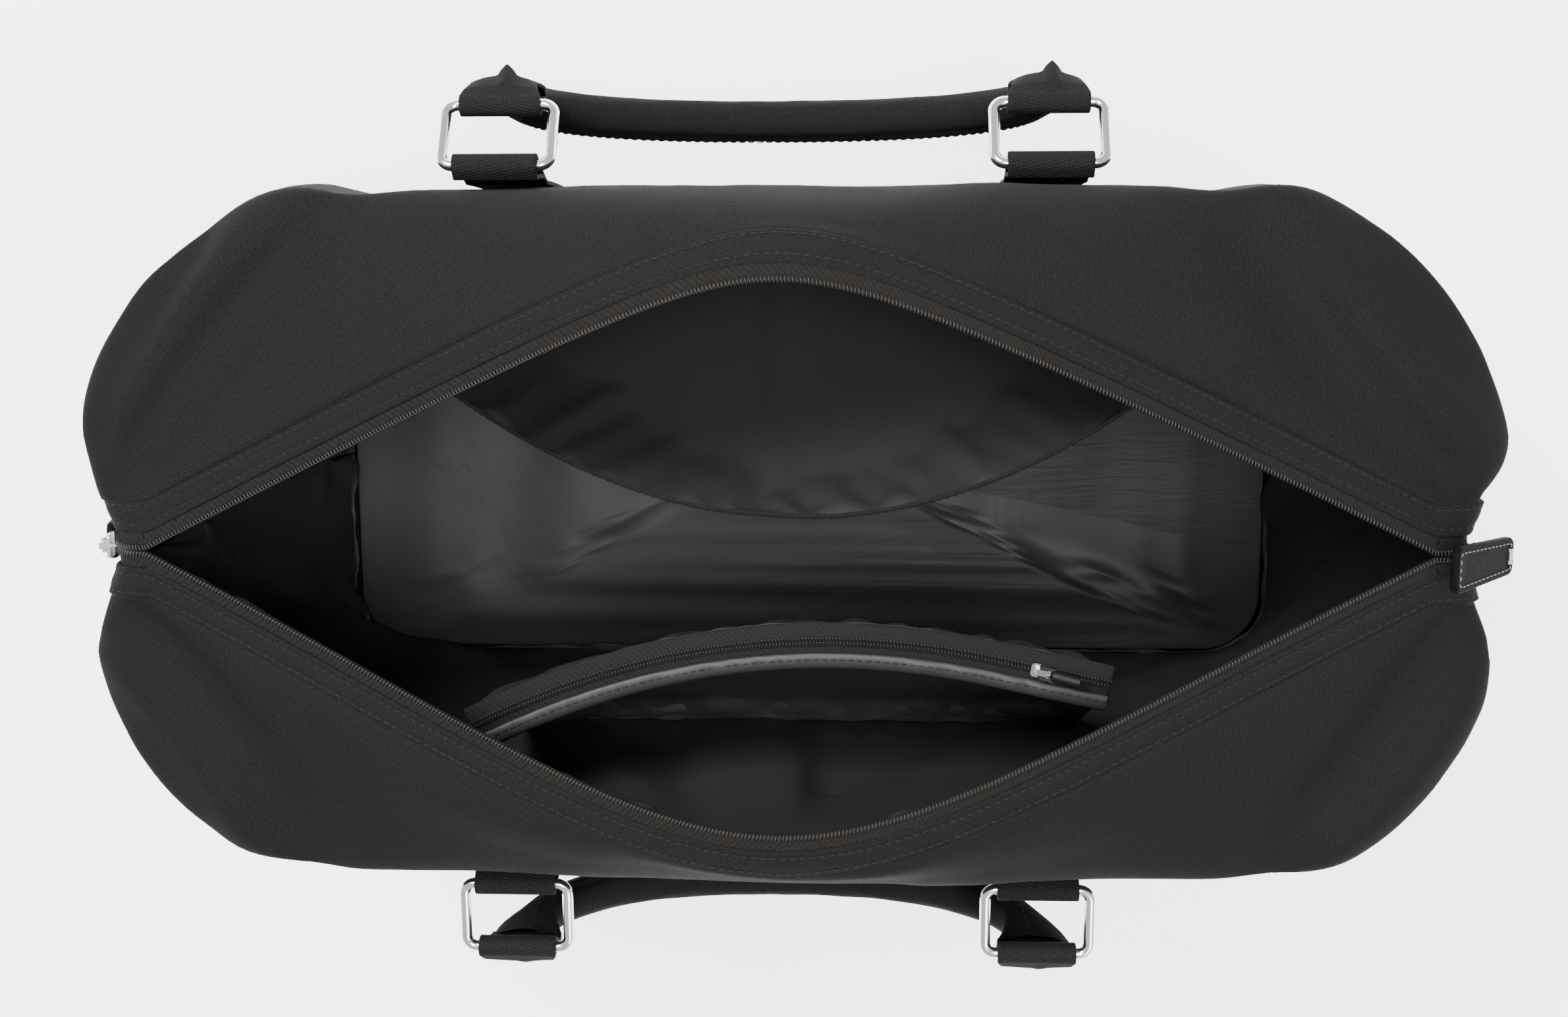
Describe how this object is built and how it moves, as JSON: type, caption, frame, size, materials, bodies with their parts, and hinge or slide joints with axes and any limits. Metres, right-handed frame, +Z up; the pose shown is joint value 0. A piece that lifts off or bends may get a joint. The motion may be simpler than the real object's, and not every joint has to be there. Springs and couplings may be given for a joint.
{
  "type": "flight bag",
  "caption": "Soft fabric flight bag with an open zipped mouth, lined compartment, open and zipped inner pockets, and rolled handles hung from chrome rings.",
  "frame": {"origin": "middle of the base, on the surface the bag stands on", "axes": "+X along the bag to its right end, +Y to its rear side with the open pocket, +Z up"},
  "size_m": [0.5191, 0.3399, 0.2858],
  "materials": {
    "outer_fabric": "matte woven polyester",
    "base_fabric": "matte woven polyester",
    "zip_tape": "taupe herringbone tape",
    "zip_coil": "nylon coil",
    "metal": "polished plating",
    "lining": "smooth satin",
    "binding": "elastic binding",
    "board": "plain stiffener",
    "webbing": "flat webbing",
    "grip_cover": "rolled woven cover",
    "grip_core": "foam rod",
    "leather": "smooth black leather",
    "pull_cord": "moulded sleeve"
  },
  "bodies": {
    "shell": {"front_panel": "outer_fabric", "rear_panel": "outer_fabric", "left_end_gusset": "base_fabric", "right_end_gusset": "base_fabric", "base_panel": "base_fabric", "base_board": "board", "front_zip_facing": "outer_fabric", "front_zip_tape": "zip_tape", "front_zip_coil": "zip_coil", "front_lining": "lining", "front_left_strap": "webbing", "front_right_strap": "webbing", "rear_zip_facing": "outer_fabric", "rear_zip_tape": "zip_tape", "rear_zip_coil": "zip_coil", "rear_lining": "lining", "rear_left_strap": "webbing", "rear_right_strap": "webbing", "left_zip_stop": "metal", "right_zip_stop": "metal", "base_lining": "lining", "slip_pocket": "lining", "slip_pocket_binding": "binding", "zip_pocket_inner_panel": "lining", "zip_pocket_outer_panel": "lining", "pocket_zip_tape": "zip_tape", "pocket_zip_coil": "zip_coil"},
    "front_left_ring_body": {"front_left_ring": "metal"},
    "front_right_ring_body": {"front_right_ring": "metal"},
    "front_handle": {"front_handle_grip": "grip_cover", "front_handle_core": "grip_core", "front_handle_left_tab": "webbing", "front_handle_right_tab": "webbing"},
    "rear_left_ring_body": {"rear_left_ring": "metal"},
    "rear_right_ring_body": {"rear_right_ring": "metal"},
    "rear_handle": {"rear_handle_grip": "grip_cover", "rear_handle_core": "grip_core", "rear_handle_left_tab": "webbing", "rear_handle_right_tab": "webbing"},
    "left_slider_body": {"left_slider": "metal"},
    "left_link_body": {"left_pull_link": "metal"},
    "left_tab_body": {"left_pull_tab": "leather"},
    "right_slider_body": {"right_slider": "metal"},
    "right_link_body": {"right_pull_link": "metal"},
    "right_tab_body": {"right_pull_tab": "leather"},
    "pocket_slider_body": {"pocket_slider": "metal"},
    "pocket_pull_body": {"pocket_pull": "pull_cord"}
  },
  "joints": [
    {"name": "rear_left_ring_hinge", "type": "hinge", "parent": "shell", "child": "rear_left_ring_body", "pos_m": [-0.105, 0.13681, 0.222], "axis": [1, 0, 0], "range_deg": [0, 120]},
    {"name": "rear_right_ring_hinge", "type": "hinge", "parent": "shell", "child": "rear_right_ring_body", "pos_m": [0.096, 0.13681, 0.222], "axis": [1, 0, 0], "range_deg": [0, 120]},
    {"name": "rear_handle_hinge", "type": "hinge", "parent": "rear_left_ring_body", "child": "rear_handle", "pos_m": [-0.105, 0.15879, 0.20773], "axis": [1, 0, 0], "range_deg": [0, 70]},
    {"name": "front_left_ring_hinge", "type": "hinge", "parent": "shell", "child": "front_left_ring_body", "pos_m": [-0.105, -0.13681, 0.222], "axis": [-1, 0, 0], "range_deg": [0, 90]},
    {"name": "front_right_ring_hinge", "type": "hinge", "parent": "shell", "child": "front_right_ring_body", "pos_m": [0.096, -0.13681, 0.222], "axis": [-1, 0, 0], "range_deg": [0, 90]},
    {"name": "front_handle_hinge", "type": "hinge", "parent": "front_left_ring_body", "child": "front_handle", "pos_m": [-0.105, -0.16298, 0.22063], "axis": [-1, 0, 0], "range_deg": [0, 70]},
    {"name": "left_slider_run", "type": "hinge", "parent": "shell", "child": "left_slider_body", "pos_m": [-0.23, 0, 0.24], "axis": [0, -1, 0], "range_deg": [-40, 0]},
    {"name": "left_link_hinge", "type": "hinge", "parent": "left_slider_body", "child": "left_link_body", "pos_m": [-0.25004, 0, 0.24353], "axis": [0, 1, 0], "range_deg": [0, 105]},
    {"name": "left_tab_hinge", "type": "hinge", "parent": "left_link_body", "child": "left_tab_body", "pos_m": [-0.2516, 0, 0.23467], "axis": [0, 1, 0], "range_deg": [0, 108]},
    {"name": "right_slider_run", "type": "hinge", "parent": "shell", "child": "right_slider_body", "pos_m": [0.23, 0, 0.24], "axis": [0, 1, 0], "range_deg": [-30, 18]},
    {"name": "right_link_hinge", "type": "hinge", "parent": "right_slider_body", "child": "right_link_body", "pos_m": [0.24797, 0, 0.24955], "axis": [0, 1, 0], "range_deg": [0, 87]},
    {"name": "right_tab_hinge", "type": "hinge", "parent": "right_link_body", "child": "right_tab_body", "pos_m": [0.25612, 0, 0.25336], "axis": [0, 1, 0], "range_deg": [0, 108]},
    {"name": "pocket_slider_run", "type": "slide", "parent": "shell", "child": "pocket_slider_body", "axis": [0.9779, -0.2093, 0], "range_m": [-0.008, 0.012]},
    {"name": "pocket_pull_hinge", "type": "hinge", "parent": "pocket_slider_body", "child": "pocket_pull_body", "pos_m": [0.097, -0.05459, 0.2097], "axis": [-0.2093, -0.9779, 0], "range_deg": [0, 140]}
  ],
  "couplings": [
    {"joint": "rear_right_ring_hinge", "follows": "rear_left_ring_hinge", "ratio": 1},
    {"joint": "front_right_ring_hinge", "follows": "front_left_ring_hinge", "ratio": 1}
  ]
}
